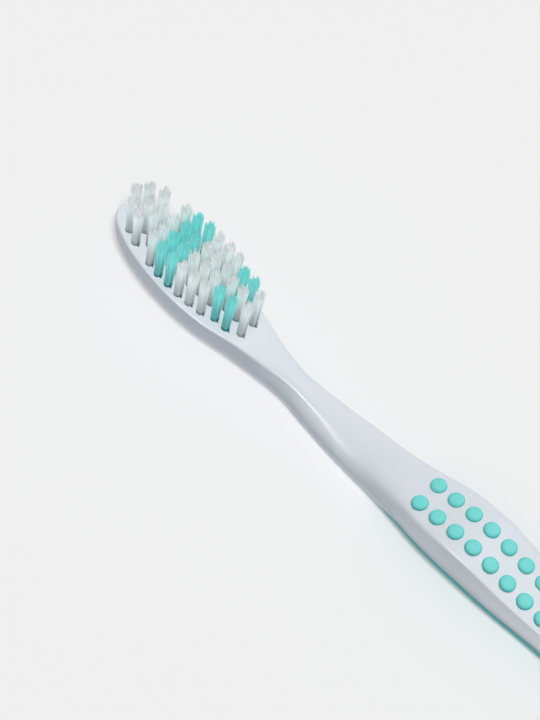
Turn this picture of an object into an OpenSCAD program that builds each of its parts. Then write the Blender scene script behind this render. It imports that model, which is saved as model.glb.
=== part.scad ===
// Manual toothbrush that lies on its back, with the bristles up.
// X runs along the brush from the tip of the head to the end of the handle, Y is across it, Z is up.
// The origin is half way along the brush, on the surface that it lies on. All sizes are millimetres.

/* [Head] */
// Length of the head, from its tip to the last row of tufts
head_length = 32.7; // [30:0.1:36]
// Widest width of the head
head_width = 12.8; // [12:0.1:15]
// Thickness of the head near its tip
head_thickness = 5.3; // [4.6:0.1:6]
// Height of the tuft face over the table at the last row of tufts
head_height = 9.2; // [8:0.1:11]
// Angle by which the tuft face rises towards the tip
head_tilt = 3.7; // [0:0.1:6]
// Radius of the edge between the tuft face and the side of the head
head_edge = 0.3; // [0.1:0.05:0.5]

/* [Neck] */
// Length of the neck, from the last row of tufts to the grip
neck_length = 42; // [36:0.5:50]
// Width of the neck where it is narrowest
neck_width = 6.4; // [5:0.1:8]
// Height of the neck's front over the table where it is lowest
neck_height = 6.6; // [5.5:0.1:8]
// Radius of the long edges of the neck
neck_edge = 2; // [0.8:0.1:3]

/* [Grip] */
// Length of the grip, where the thumb lies
grip_length = 32; // [26:0.5:40]
// Width of the grip where it is widest
grip_width = 14.7; // [12:0.1:18]
// Height of the grip's hump over the table
grip_height = 10.2; // [8.5:0.1:13]
// Height of the hollow under the grip
grip_arch = 1; // [0:0.1:1.5]
// Radius of the long edges of the grip
grip_edge = 0.7; // [0.3:0.1:1.5]
// Rise of the rounded front along its middle
front_crown = 0.3; // [0.1:0.05:0.38]

/* [Tail] */
// Length of the tail, from the grip to the end
tail_length = 83.3; // [70:0.1:95]
// Width of the tail
tail_width = 11.3; // [9.5:0.1:13]
// Height of the tail
tail_height = 7.5; // [6.5:0.1:9]
// Length over which the end of the tail rounds off
end_round = 6; // [4:0.5:7]

/* [Soft grip] */
// Thickness of the soft panel on the back
panel_skin = 1.6; // [1:0.1:2]
// Length over which each end of the panel rounds off
panel_nose = 11; // [8:0.5:13]
// Bare length of handle behind the panel
panel_margin = 9; // [8:0.5:14]
// Diameter of a round pad on the front
pad_diameter = 2.95; // [2.4:0.05:3.3]
// Height by which a pad stands proud of the front
pad_height = 0.45; // [0.2:0.05:0.8]
// Depth to which a pad is let into the front
pad_seat = 0.6; // [0.4:0.1:1]
// Distance between neighbouring pads in a row
pad_pitch = 3.97; // [3.7:0.01:4.3]
// Distance between the two rows of pads
pad_row_gap = 4.6; // [4:0.1:5]
// Pads in each row
pad_count = 12; // [6:1:14]
// Diameter of the channel that joins a pad to the panel
channel_diameter = 1.6; // [1:0.1:2]
// Space left between the soft grip and the handle
bond_gap = 0.02; // [0.01:0.01:0.05]

/* [Tufts] */
// Diameter of a tuft hole
hole_diameter = 1.8; // [1.65:0.05:1.9]
// Depth of a tuft hole
hole_depth = 3; // [2.4:0.1:3.2]
// Height of the tufts in the rows over the tuft face
row_tuft_height = 10.7; // [8:0.1:13]
// Height of the tall tufts at the tip
tip_tuft_height = 11.4; // [8:0.1:13.5]
// Height of the short tufts behind the tall ones
short_tuft_height = 9.8; // [7:0.1:12]
// Width across a bristle strand
strand_width = 0.42; // [0.2:0.02:0.44]
// Depth to which a strand is sunk into its root
strand_sink = 0.4; // [0.2:0.05:0.8]
// Most by which a strand's height varies
strand_scatter = 0.5; // [0:0.05:0.9]
// Space between a tuft's root and its hole
root_gap = 0.03; // [0.01:0.01:0.06]
// Distance from the tuft face down to the top of a root
root_drop = 0.25; // [0.1:0.05:0.6]

/* [Anchors] */
// Thickness of an anchor plate
anchor_thickness = 0.3; // [0.2:0.02:0.36]
// Height of an anchor plate
anchor_height = 1.4; // [1:0.1:1.8]
// Length by which an anchor bites into the plastic at each side of its hole
anchor_bite = 0.26; // [0.1:0.02:0.3]
// Height of the filament fold under an anchor
anchor_fold = 0.4; // [0.3:0.05:0.6]
// Space round an anchor in its slot
anchor_gap = 0.02; // [0.01:0.01:0.04]
// Angle between an anchor plate and the length of the brush
anchor_angle = -12; // [-16:1:16]

/* [Hidden] */
brush_length = head_length + neck_length + grip_length + tail_length;
neck_start = head_length;
grip_start = neck_start + neck_length;
tail_start = grip_start + grip_length;
// Length by which a cut runs past the surface that it opens
overrun = 0.4;
// Shortest step between two sections, and the place of the first one
hair = 0.02;
$fn = 32;

// Each list holds pairs: a place as a share of its zone's length, and a share of the zone's own size.
head_width_shares = [[0.45, 0.976], [0.633, 1], [0.816, 0.92], [1, 0.74]];
neck_width_shares = [[0.06, 1.365], [0.143, 1.19], [0.286, 1], [0.429, 1.17], [0.571, 1.35], [0.714, 1.48],
                     [0.857, 1.63]];
grip_width_shares = [[0, 0.83], [0.19, 0.96], [0.375, 1], [0.56, 0.977], [0.75, 0.912], [0.94, 0.84]];
tail_width_shares = [[0.07, 1.035], [0.22, 1], [0.46, 0.99], [0.7, 0.99], [1, 0.97]];

// Heights of the front of the neck, as shares of the step down from the head and up to the grip.
neck_fall_shares = [[0.07, 0.83], [0.143, 0.62], [0.286, 0.28], [0.429, 0.04], [0.571, 0]];
neck_rise_shares = [[0.714, 0.1], [0.857, 0.4]];
grip_top_shares = [[0, 0.86], [0.19, 0.936], [0.35, 1], [0.45, 1], [0.56, 0.94], [0.69, 0.855], [0.81, 0.8],
                   [0.94, 0.76]];
tail_top_shares = [[0.07, 1.01], [0.22, 0.98], [0.46, 0.95], [0.7, 0.91], [1, 0.83]];

// Heights of the back, as shares of the head's underside and of the hollow under the grip.
neck_low_shares = [[0.143, 0.74], [0.286, 0.44], [0.429, 0.18], [0.571, 0.03], [0.714, 0]];
neck_arch_shares = [[0.857, 0.3]];
grip_arch_shares = [[0, 0.7], [0.19, 1], [0.375, 0.95], [0.56, 0.6], [0.75, 0.2], [0.94, 0]];

// Half the flat of the front, as a share of half the width.
head_flat_shares = [[0, 0.84], [0.3, 0.885], [0.63, 0.9], [0.95, 0.86]];
neck_flat_shares = [[0.2, 0.72], [0.35, 0.62], [0.65, 0.64], [0.9, 0.71]];
grip_flat_shares = [[0.2, 0.735], [0.5, 0.745], [1, 0.74]];
tail_flat_shares = [[0.3, 0.72], [1, 0.7]];

// Depth of the widest line under the front, as a share of the thickness.
head_widest_shares = [[0, 0.7], [1, 0.66]];
neck_widest_shares = [[0.48, 0.49], [0.86, 0.47]];
grip_widest_shares = [[0.1, 0.385], [0.4, 0.365], [1, 0.29]];
tail_widest_shares = [[0.3, 0.29], [1, 0.32]];

// Radius of the edge beside the front, as a share of its zone's own radius.
head_edge_shares = [[0, 1], [0.9, 1]];
neck_edge_shares = [[0.15, 0.4], [0.35, 0.9], [0.5, 1], [0.85, 1]];
grip_edge_shares = [[0.05, 2], [0.35, 1], [1, 0.9]];
tail_edge_shares = [[0.1, 0.9], [1, 0.9]];
edge_limit_share = 0.7;
crown_limit_share = 0.25;

// Fullness of the back: two is an ellipse, and more is squarer.
fullness_shares = [[0, 2.6], [0.12, 2.6], [0.17, 2.5], [0.28, 2.4], [0.38, 2.5], [0.5, 2.5], [0.6, 2.7],
                   [1, 2.8]];
// Past this share of its depth the back of the tail is a narrow flat, which the brush lies on.
rest_share = 0.98;

// Places of the sections, as shares of each zone.
head_section_shares = [0.004, 0.015, 0.035, 0.065, 0.11, 0.17, 0.25, 0.34, 0.44, 0.54, 0.64, 0.74, 0.82, 0.9,
                       0.96];
neck_section_shares = [0, 0.05, 0.1, 0.15, 0.21, 0.28, 0.35, 0.43, 0.51, 0.6, 0.68, 0.76];
nose_section_shares = [0, 0.04, 0.12, 0.24, 0.4, 0.58, 0.78];
grip_section_shares = [0.1, 0.2, 0.29, 0.38, 0.47, 0.56, 0.66, 0.76, 0.87, 1];
tail_section_shares = [0.1, 0.21, 0.33, 0.46, 0.59, 0.72, 0.84];
back_nose_section_shares = [0.22, 0.42, 0.6, 0.76, 0.88, 0.96, 1];
end_section_shares = [0, 0.3, 0.55, 0.75, 0.89, 0.96, 0.992];

// The head's outline is an ellipse up to its widest place, and its underside rounds off faster.
nose_share = 0.61;
nose_fullness = 2.2;
nose_depth_fullness = 5;
end_fullness = 2.3;
// The head grows thicker by this share up to its last row.
head_growth_share = 0.05;

// The panel starts under the neck, and its edge climbs to the widest line of the grip.
panel_start_share = 0.805;
panel_start = neck_start + panel_start_share * neck_length;
panel_end = brush_length - panel_margin;
seam_low_angle = 76;
seam_angle_by_grip = 2;
seam_angle_plain = 45;
seam_step_angle = 2;
seam_fade = 6;

// Tuft places: from the last row as shares of the head's length, and across as shares of half its width.
row_pitch_share = 0.0795;
row_count = 9;
row_side_shares = [0.606, 0.665, 0.677, 0.677, 0.648, 0.597, 0.45, 0.43, 0.234];
row_tufts = [4, 4, 4, 4, 4, 4, 3, 3, 2];
tip_tuft_shares = [[0.902, 0], [0.858, -0.309], [0.858, 0.309], [0.798, 0], [0.78, -0.456], [0.78, 0.456],
                   [0.719, -0.2], [0.719, 0.2]];
tip_tall_count = 6;
teal_rows = [2, 3];
teal_edge_rows = [7, 8];

// Strand places in one half of a tuft, as shares of the root's radius, along and across the anchor.
strand_shares = [[-0.64, 0.4], [0, 0.4], [0.64, 0.4], [-0.31, 0.68], [0.31, 0.68]];
strand_spread_share = 1.35;
strand_taper_share = 0.75;
// A tuft leans towards the handle by this share of its height.
lean_share = 0.04;

white = "#eef2f6";
teal = "#7cd0cb";
nylon_white = "#e4e8e8";
nylon_teal = "#55cfc8";
metal = "#b9bdc2";

TUFTS = concat([for (i = [0 : len(tip_tuft_shares) - 1]) tip_tuft(i)],
               [for (r = [1 : row_count], k = [0 : row_tufts[r - 1] - 1]) row_tuft(r, k)]);

// A tuft is its name, its place on the tuft face, its height and its colour.
function tip_tuft(i) = let (p = tip_tuft_shares[i]) [
    str("tip_tuft_", i + 1),
    [-head_length * p[0], head_width / 2 * p[1]],
    i < tip_tall_count ? tip_tuft_height : short_tuft_height,
    nylon_white];
function row_tuft(r, k) = let (
    n = row_tufts[r - 1],
    side = head_width / 2 * row_side_shares[r - 1],
    edge = k == 0 || k == n - 1,
    is_teal = search(r, teal_rows) != [] || (edge && search(r, teal_edge_rows) != [])) [
    str("row_", r, "_tuft_", k + 1),
    [(r - row_count) * row_pitch_share * head_length, side * (2 * k / (n - 1) - 1)],
    r == 1 ? (row_tuft_height + short_tuft_height) / 2 : row_tuft_height,
    is_teal ? nylon_teal : nylon_white];

// Points of one zone, from shares of its length and of its size.
function zone(start, span, size, shares, base = 0) =
    [for (p = shares) [start + span * p[0], base + size * p[1]]];

// A smooth line through points: a cubic between neighbours, with a slope taken from both sides.
function step_slope(t, i) = (t[i + 1].y - t[i].y) / (t[i + 1].x - t[i].x);
function slope(t, i) = i == 0 ? step_slope(t, 0)
    : i == len(t) - 1 ? step_slope(t, i - 1)
    : let (a = t[i].x - t[i - 1].x, b = t[i + 1].x - t[i].x)
      (step_slope(t, i - 1) * b + step_slope(t, i) * a) / (a + b);
function span_at(t, s, i = 0) = i >= len(t) - 2 || s < t[i + 1].x ? i : span_at(t, s, i + 1);
function along(t, s) = let (
    i = span_at(t, s),
    h = t[i + 1].x - t[i].x,
    u = (s - t[i].x) / h,
    v = 1 - u)
    s <= t[0].x ? t[0].y
    : s >= t[len(t) - 1].x ? t[len(t) - 1].y
    : v * v * (1 + 2 * u) * t[i].y + u * v * v * h * slope(t, i)
      + u * u * (1 + 2 * v) * t[i + 1].y - u * u * v * h * slope(t, i + 1);

// Height of the tuft face, and the lines that the body follows. Each takes a distance from the tip.
function face_height(s) = head_height + (head_length - s) * tan(head_tilt);
width_line = concat(
    zone(0, head_length, head_width / 2, head_width_shares),
    zone(neck_start, neck_length, neck_width / 2, neck_width_shares),
    zone(grip_start, grip_length, grip_width / 2, grip_width_shares),
    zone(tail_start, tail_length, tail_width / 2, tail_width_shares));
top_line = concat(
    [[0, face_height(0) + overrun], [head_length, head_height + overrun / 2]],
    zone(neck_start, neck_length, head_height - neck_height, neck_fall_shares, neck_height),
    zone(neck_start, neck_length, grip_height - neck_height, neck_rise_shares, neck_height),
    zone(grip_start, grip_length, grip_height, grip_top_shares),
    zone(tail_start, tail_length, tail_height, tail_top_shares));
low_line = concat(
    [[neck_start, head_height - head_thickness * (1 + head_growth_share)]],
    zone(neck_start, neck_length, head_height - head_thickness, neck_low_shares),
    zone(neck_start, neck_length, grip_arch, neck_arch_shares),
    zone(grip_start, grip_length, grip_arch, grip_arch_shares),
    zone(tail_start, tail_length, 0, [[0.1, 0], [1, 0]]));
flat_line = concat(
    zone(0, head_length, 1, head_flat_shares),
    zone(neck_start, neck_length, 1, neck_flat_shares),
    zone(grip_start, grip_length, 1, grip_flat_shares),
    zone(tail_start, tail_length, 1, tail_flat_shares));
widest_line = concat(
    zone(0, head_length, 1, head_widest_shares),
    zone(neck_start, neck_length, 1, neck_widest_shares),
    zone(grip_start, grip_length, 1, grip_widest_shares),
    zone(tail_start, tail_length, 1, tail_widest_shares));
edge_line = concat(
    zone(0, head_length, head_edge, head_edge_shares),
    zone(neck_start, neck_length, neck_edge, neck_edge_shares),
    zone(grip_start, grip_length, grip_edge, grip_edge_shares),
    zone(tail_start, tail_length, grip_edge, tail_edge_shares));

// How full the outline is at the tip and at the end of the tail, from 0 to 1.
function rounded(v, power) = pow(1 - v * v, 1 / power);
function nose_fill(s, power) = rounded(max(0, 1 - s / (nose_share * head_length)), power);
function end_fill(s) = rounded(max(0, (s - brush_length + end_round) / end_round), end_fullness);
function half_width(s) = s < nose_share * head_length
    ? head_width / 2 * nose_fill(s, nose_fullness)
    : along(width_line, s) * end_fill(s);
function raw_top(s) = along(top_line, s);
function raw_low(s) = s < neck_start
    ? face_height(s)
        - head_thickness * (1 + head_growth_share * s / head_length) * nose_fill(s, nose_depth_fullness)
    : max(0, along(low_line, s));
function end_level(s) = (raw_top(s) + raw_low(s)) / 2;
function top_at(s) = end_level(s) + (raw_top(s) - end_level(s)) * end_fill(s);
function low_at(s) = end_level(s) + (raw_low(s) - end_level(s)) * end_fill(s);
function fullness_at(s) = along(zone(0, brush_length, 1, fullness_shares), s);

// The panel's edge, as an angle down from the widest line, and how deep the panel is let in.
function seam_angle(s) = let (
    front = max(0, min(1, (panel_start + panel_nose - s) / panel_nose)),
    back = max(0, min(1, (s - panel_end + panel_nose) / panel_nose)),
    t = max(front, back),
    outside = max(panel_start - s, s - panel_end))
    outside > 0
    ? seam_low_angle - (seam_low_angle - seam_angle_plain) * min(1, outside / seam_fade)
    : seam_angle_by_grip + (seam_low_angle - seam_angle_by_grip) * (1 - sqrt(1 - t * t));
function skin_depth(s) = s >= panel_start && s <= panel_end ? panel_skin : 0;

// A point of the back, at an angle down from the widest line, set in by a depth.
function level_at(s) = top_at(s) - (top_at(s) - low_at(s)) * along(widest_line, s);
function back_point(s, angle, depth) = let (
    n = fullness_at(s),
    k = pow(pow(cos(angle), n) + pow(sin(angle), n), 1 / n),
    full = s > tail_start && s < brush_length - end_round ? rest_share : 1,
    down = min(1, sin(angle) / k / full))
    [(half_width(s) - depth) * cos(angle) / k, level_at(s) - (level_at(s) - low_at(s) - depth) * down];

// Half of the handle's section, from the middle of the front round to the middle of the back.
back_outer_steps = 3;
back_inner_steps = 5;
edge_steps = 3;
function half_section(s) = let (
    w = half_width(s),
    flat = w * along(flat_line, s),
    level = level_at(s),
    crown = min(front_crown, (top_at(s) - level) * crown_limit_share),
    shoulder = top_at(s) - crown,
    wall = norm([w - flat, shoulder - level]),
    r = min(along(edge_line, s), edge_limit_share * min(flat, wall)),
    lower = [flat + (w - flat) * r / wall, shoulder - (shoulder - level) * r / wall],
    start_y = flat - r,
    start = [start_y, top_at(s) - crown * pow(start_y / flat, 2)],
    seam = seam_angle(s),
    inner_start = seam + seam_step_angle) concat(
    [[0, top_at(s)], [start_y / 2, top_at(s) - crown * pow(start_y / 2 / flat, 2)], start],
    [for (i = [1 : edge_steps]) let (t = i / edge_steps, v = 1 - t)
        v * v * start + 2 * t * v * [flat, shoulder] + t * t * lower],
    [(lower + [w, level]) / 2, [w, level]],
    [for (i = [1 : back_outer_steps]) back_point(s, seam * i / back_outer_steps, 0)],
    [for (i = [0 : back_inner_steps])
        back_point(s, inner_start + (90 - inner_start) * i / back_inner_steps, skin_depth(s))]);
function whole_section(s) = let (half = half_section(s), n = len(half)) concat(
    [for (p = half) [s - brush_length / 2, p.x, p.y]],
    [for (i = [n - 2 : -1 : 1]) [s - brush_length / 2, -half[i].x, half[i].y]]);

// The skin between neighbouring sections, and strips that close the first and the last one.
function skin_faces(rings, n) = [for (i = [0 : rings - 2], j = [0 : n - 1]) let (
    a = i * n + j, b = i * n + (j + 1) % n) each [[a, b, b + n], [a, b + n, a + n]]];
function cap_faces(first, n) = [for (j = [0 : n / 2 - 1]) let (
    a = j, b = j + 1, c = n - j - 1, d = (n - j) % n) each concat(
    [[first + a, first + c, first + b]],
    a == d ? [] : [[first + a, first + d, first + c]])];
function turned(faces) = [for (f = faces) [f[0], f[2], f[1]]];

function zone_places(start, span, shares) = [for (p = shares) start + span * p];
panel_places = concat(
    zone_places(panel_start, panel_nose, nose_section_shares),
    zone_places(panel_start + panel_nose, tail_start - panel_start - panel_nose, grip_section_shares),
    zone_places(tail_start, panel_end - panel_nose - tail_start, concat(tail_section_shares, [1])),
    zone_places(panel_end - panel_nose, panel_nose, back_nose_section_shares));
handle_places = concat(
    [hair],
    zone_places(0, head_length, head_section_shares),
    zone_places(neck_start, neck_length, neck_section_shares),
    [panel_start - hair],
    panel_places,
    [panel_end + hair],
    zone_places(brush_length - end_round, end_round, end_section_shares));

module handle_blank() {
    rings = [for (s = handle_places) whole_section(s)];
    n = len(rings[0]);
    polyhedron(
        points = [for (ring = rings, p = ring) p],
        faces = concat(
            skin_faces(len(rings), n),
            cap_faces(0, n),
            turned(cap_faces((len(rings) - 1) * n, n))));
}

// Puts what follows on the tuft face, at the last row: X runs towards the handle, Z straight out.
module on_face() {
    translate([head_length - brush_length / 2, 0, head_height]) rotate([0, head_tilt, 0]) children();
}

// One tuft hole with the slot that its anchor cut on the way in.
slot_length = hole_diameter + 2 * (anchor_bite + anchor_gap);
slot_width = anchor_thickness + 2 * anchor_gap;
anchor_level = anchor_fold - hole_depth;
module tuft_hole() {
    translate([0, 0, -hole_depth]) cylinder(d = hole_diameter, h = hole_depth + overrun);
    rotate([0, 0, anchor_angle])
        translate([-slot_length / 2, -slot_width / 2, anchor_level - anchor_gap])
            cube([slot_length, slot_width, overrun + anchor_gap - anchor_level]);
}

// Puts what follows on the front of the grip, at each pad, square to the surface there.
function front_slope(s) = atan((top_at(s + hair) - top_at(s - hair)) / (2 * hair));
first_pad_share = 0.45;
first_pad = grip_start + pad_pitch * first_pad_share;
module at_pads() {
    for (i = [0 : pad_count - 1], side = [-1, 1]) {
        s = first_pad + i * pad_pitch;
        $channel_length = top_at(s) - low_at(s) - panel_skin / 2;
        translate([s - brush_length / 2, side * pad_row_gap / 2, top_at(s)])
            rotate([0, -front_slope(s), 0]) children();
    }
}

// A pad and its channel as one turned outline, or the room that they need when spare is added.
pad_edge_share = 0.6;
pad_dome_share = 0.3;
pad_edge_step = 30;
module pad(spare = 0, reach = 0) {
    r = pad_diameter / 2 + spare;
    edge = pad_height * pad_edge_share;
    dome = pad_height * pad_dome_share;
    shoulder = pad_height - dome - edge;
    outline = reach > 0
        ? [[0, reach], [r, reach]]
        : concat(
            [[0, pad_height]],
            [for (a = [90 : -pad_edge_step : 0]) [r - edge + edge * cos(a), shoulder + edge * sin(a)]]);
    rotate_extrude()
        polygon(concat(outline, [
            [r, -pad_seat - spare],
            [channel_diameter / 2 + spare, -pad_seat - spare],
            [channel_diameter / 2 + spare, -$channel_length - spare],
            [0, -$channel_length - spare]]));
}

module handle() {
    color(white) difference() {
        handle_blank();
        // the tuft face is one flat
        on_face() translate([-head_length - 2 * overrun, -head_width, 0])
            cube([head_length + neck_length / 2, 2 * head_width, head_thickness]);
        on_face() for (t = TUFTS) translate(t[1]) tuft_hole();
        at_pads() pad(bond_gap, pad_height + overrun);
    }
}

// One section of the back panel: its outside from edge to edge, and back along its inside.
panel_steps = 5;
function panel_section(s) = let (
    edge = seam_angle(s) + 180 * bond_gap / half_width(s) / PI,
    inner_edge = edge + seam_step_angle,
    half_out = [for (i = [0 : panel_steps]) back_point(s, edge + (90 - edge) * i / panel_steps, 0)],
    half_in = [for (i = [0 : panel_steps])
        back_point(s, inner_edge + (90 - inner_edge) * i / panel_steps, panel_skin - bond_gap)],
    out = concat(half_out, [for (i = [panel_steps - 1 : -1 : 0]) [-half_out[i].x, half_out[i].y]]),
    back = concat([for (p = half_in) [-p.x, p.y]], [for (i = [panel_steps - 1 : -1 : 0]) half_in[i]]))
    [for (p = concat(out, back)) [s - brush_length / 2, p.x, p.y]];
function strip_faces(first, n) = [for (j = [0 : n / 2 - 2]) let (
    a = first + j, b = first + j + 1, c = first + n - j - 2, d = first + n - j - 1)
    each [[a, c, b], [a, d, c]]];
module panel() {
    last = len(panel_places) - 1;
    rings = [for (i = [0 : last])
        panel_section(panel_places[i] + (i == 0 ? bond_gap : i == last ? -bond_gap : 0))];
    n = len(rings[0]);
    polyhedron(
        points = [for (ring = rings, p = ring) p],
        faces = concat(
            skin_faces(len(rings), n),
            strip_faces(0, n),
            turned(strip_faces(last * n, n))));
}

module soft_grip() {
    color(teal) union() {
        panel();
        at_pads() pad();
    }
}

module tuft_anchors() {
    color(metal) on_face() for (t = TUFTS)
        translate(concat(t[1], [anchor_level])) rotate([0, 0, anchor_angle])
            translate([-hole_diameter / 2 - anchor_bite, -anchor_thickness / 2, 0])
                cube([hole_diameter + 2 * anchor_bite, anchor_thickness, anchor_height]);
}

// One strand: a four-sided tapering prism from its root to its tip.
module strand(foot, head) {
    corners = [[1, 0], [0, 1], [-1, 0], [0, -1]] * strand_width / 2;
    polyhedron(
        points = concat(
            [for (c = corners) foot + concat(c, [0])],
            [for (c = corners) head + concat(c * strand_taper_share, [0])]),
        faces = concat(
            [[0, 1, 2], [0, 2, 3], [4, 6, 5], [4, 7, 6]],
            [for (i = [0 : 3]) let (j = (i + 1) % 4) each [[i, j + 4, j], [i, i + 4, j + 4]]]));
}

// One tuft: filaments folded under the anchor into two halves that rise on either side of it.
root_radius = hole_diameter / 2 - root_gap;
root_sides = 12;
lean = lean_share * [cos(anchor_angle), -sin(anchor_angle)];
module tuft(t, index) {
    heights = rands(-strand_scatter, strand_scatter, 2 * len(strand_shares), index + 1);
    color(t[3]) on_face() translate(t[1]) rotate([0, 0, anchor_angle]) union() {
        difference() {
            translate([0, 0, root_gap - hole_depth])
                cylinder(r = root_radius, h = hole_depth - root_gap - root_drop, $fn = root_sides);
            translate([-hole_diameter, -slot_width / 2, anchor_level - anchor_gap])
                cube([2 * hole_diameter, slot_width, hole_depth]);
        }
        for (i = [0 : len(strand_shares) - 1], half = [0, 1]) {
            place = [strand_shares[i].x, strand_shares[i].y * (2 * half - 1)] * root_radius;
            top = t[2] + heights[2 * i + half];
            strand(
                concat(place, [-root_drop - strand_sink]),
                concat(place * strand_spread_share + lean * t[2], [top]));
        }
    }
}

handle();
soft_grip();
tuft_anchors();
for (i = [0 : len(TUFTS) - 1])
    tuft(TUFTS[i], i);
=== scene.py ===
import math

import bmesh
import bpy
from mathutils import Matrix, Vector


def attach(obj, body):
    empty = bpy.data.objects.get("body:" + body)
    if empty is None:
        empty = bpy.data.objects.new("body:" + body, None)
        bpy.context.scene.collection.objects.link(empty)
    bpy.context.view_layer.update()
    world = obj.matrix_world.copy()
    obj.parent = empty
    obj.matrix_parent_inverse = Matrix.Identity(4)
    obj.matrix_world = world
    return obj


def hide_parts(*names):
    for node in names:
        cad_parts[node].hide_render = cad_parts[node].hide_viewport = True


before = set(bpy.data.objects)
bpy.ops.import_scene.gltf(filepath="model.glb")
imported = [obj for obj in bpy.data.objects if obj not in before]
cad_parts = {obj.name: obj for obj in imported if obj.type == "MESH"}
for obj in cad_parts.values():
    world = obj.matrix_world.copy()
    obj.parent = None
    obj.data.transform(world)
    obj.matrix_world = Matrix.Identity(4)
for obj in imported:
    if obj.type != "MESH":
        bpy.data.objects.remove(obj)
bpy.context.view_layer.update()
scene = bpy.context.scene


# Handle: one white polypropylene moulding that is head, neck and grip core in one. Its front is nearly flat with
# a rounded edge, its sides slope out to a widest line, and its back is round. All sizes are millimetres from the
# tip of the head, which lies at -X.
head_length, neck_length, grip_length, tail_length = 32.7, 42.0, 32.0, 83.3
head_width, neck_width, grip_width, tail_width = 12.8, 6.4, 14.67, 11.3
head_height, neck_height, grip_height, tail_height = 9.2, 6.6, 10.2, 7.5
head_thickness, head_growth, grip_arch, front_crown = 5.3, 0.05, 1.0, 0.3
head_tilt = math.radians(3.7)
end_round, rest_share = 6.0, 0.98
nose_length = 0.61 * head_length
nose_fullness, nose_back_fullness, end_fullness = 2.2, 5, 2.3
neck_start = head_length
grip_start = neck_start + neck_length
tail_start = grip_start + grip_length
brush_length = tail_start + tail_length
MM = 0.001


def placed(start, span, size, shares, base=0.0):
    """Points of one zone, from shares of its length and of its size."""
    return [(start + span * along, base + size * share) for along, share in shares]


def smooth_line(points):
    """A smooth line through points, with the slope at each one taken from both its sides."""
    steps = [(b[1] - a[1]) / (b[0] - a[0]) for a, b in zip(points, points[1:])]
    slopes = [steps[0]]
    for i in range(1, len(points) - 1):
        before, after = points[i][0] - points[i - 1][0], points[i + 1][0] - points[i][0]
        slopes.append((steps[i - 1] * after + steps[i] * before) / (before + after))
    slopes.append(steps[-1])

    def height(s):
        if s <= points[0][0]:
            return points[0][1]
        if s >= points[-1][0]:
            return points[-1][1]
        i = max(k for k in range(len(points) - 1) if s >= points[k][0])
        h = points[i + 1][0] - points[i][0]
        u = (s - points[i][0]) / h
        v = 1 - u
        return (v * v * (1 + 2 * u) * points[i][1] + u * v * v * h * slopes[i]
                + u * u * (1 + 2 * v) * points[i + 1][1] - u * u * v * h * slopes[i + 1])
    return height


def four_zones(head=(), neck=(), grip=(), tail=()):
    """A smooth line given as plain values along the four zones of the brush."""
    return smooth_line(placed(0, head_length, 1, head) + placed(neck_start, neck_length, 1, neck)
                       + placed(grip_start, grip_length, 1, grip) + placed(tail_start, tail_length, 1, tail))


# Lines along the brush: half of its width, and the heights of its front and of its back.
width_line = smooth_line(
    placed(0, head_length, head_width / 2, [(0.45, 0.976), (0.633, 1), (0.816, 0.92), (1, 0.74)])
    + placed(neck_start, neck_length, neck_width / 2,
             [(0.06, 1.365), (0.143, 1.19), (0.286, 1), (0.429, 1.17), (0.571, 1.35), (0.714, 1.48), (0.857, 1.63)])
    + placed(grip_start, grip_length, grip_width / 2,
             [(0, 0.83), (0.19, 0.96), (0.375, 1), (0.56, 0.977), (0.75, 0.912), (0.94, 0.84)])
    + placed(tail_start, tail_length, tail_width / 2,
             [(0.07, 1.035), (0.22, 1), (0.46, 0.99), (0.7, 0.99), (1, 0.97)]))
front_line = smooth_line(
    [(0, head_height + head_length * math.tan(head_tilt) + 0.4), (head_length, head_height + 0.2)]
    + placed(neck_start, neck_length, head_height - neck_height,
             [(0.07, 0.83), (0.143, 0.62), (0.286, 0.28), (0.429, 0.04), (0.571, 0)], neck_height)
    + placed(neck_start, neck_length, grip_height - neck_height, [(0.714, 0.1), (0.857, 0.4)], neck_height)
    + placed(grip_start, grip_length, grip_height,
             [(0, 0.86), (0.19, 0.936), (0.35, 1), (0.45, 1), (0.56, 0.94), (0.69, 0.855), (0.81, 0.8),
              (0.94, 0.76)])
    + placed(tail_start, tail_length, tail_height,
             [(0.07, 1.01), (0.22, 0.98), (0.46, 0.95), (0.7, 0.91), (1, 0.83)]))
back_line = smooth_line(
    [(neck_start, head_height - head_thickness * (1 + head_growth))]
    + placed(neck_start, neck_length, head_height - head_thickness,
             [(0.143, 0.74), (0.286, 0.44), (0.429, 0.18), (0.571, 0.03), (0.714, 0)])
    + placed(neck_start, neck_length, grip_arch, [(0.857, 0.3)])
    + placed(grip_start, grip_length, grip_arch,
             [(0, 0.7), (0.19, 1), (0.375, 0.95), (0.56, 0.6), (0.75, 0.2), (0.94, 0)])
    + [(tail_start + 0.1 * tail_length, 0), (brush_length, 0)])
# How wide the flat front is, how far down the widest line lies, how large the rounding between flat and wall is,
# how round the wall is, and how full the back is.
flat_line = four_zones([(0, 0.90), (0.3, 0.935), (0.63, 0.945), (0.95, 0.91)],
                       [(0.15, 0.72), (0.28, 0.52), (0.42, 0.44), (0.55, 0.5), (0.75, 0.66), (0.9, 0.71)],
                       [(0.2, 0.735), (0.5, 0.745), (1, 0.74)], [(0.3, 0.72), (1, 0.7)])
widest_line = four_zones([(0, 0.7), (1, 0.66)], [(0.48, 0.49), (0.86, 0.47)],
                         [(0.1, 0.385), (0.4, 0.365), (1, 0.29)], [(0.3, 0.29), (1, 0.32)])
edge_line = four_zones([(0, 0.6), (0.9, 0.6)], [(0.12, 0.45), (0.46, 0.4), (0.66, 1.8), (0.85, 2)],
                       [(0.05, 1.0), (0.35, 0.5), (0.6, 0.25), (1, 0.25)], [(0.1, 0.35), (1, 0.4)])
bulge_line = four_zones([(0, 0.12), (0.8, 0.12)],
                        [(0.08, 0.15), (0.25, 0.33), (0.45, 0.37), (0.65, 0.38), (0.85, 0.2), (1, 0)])
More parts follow.
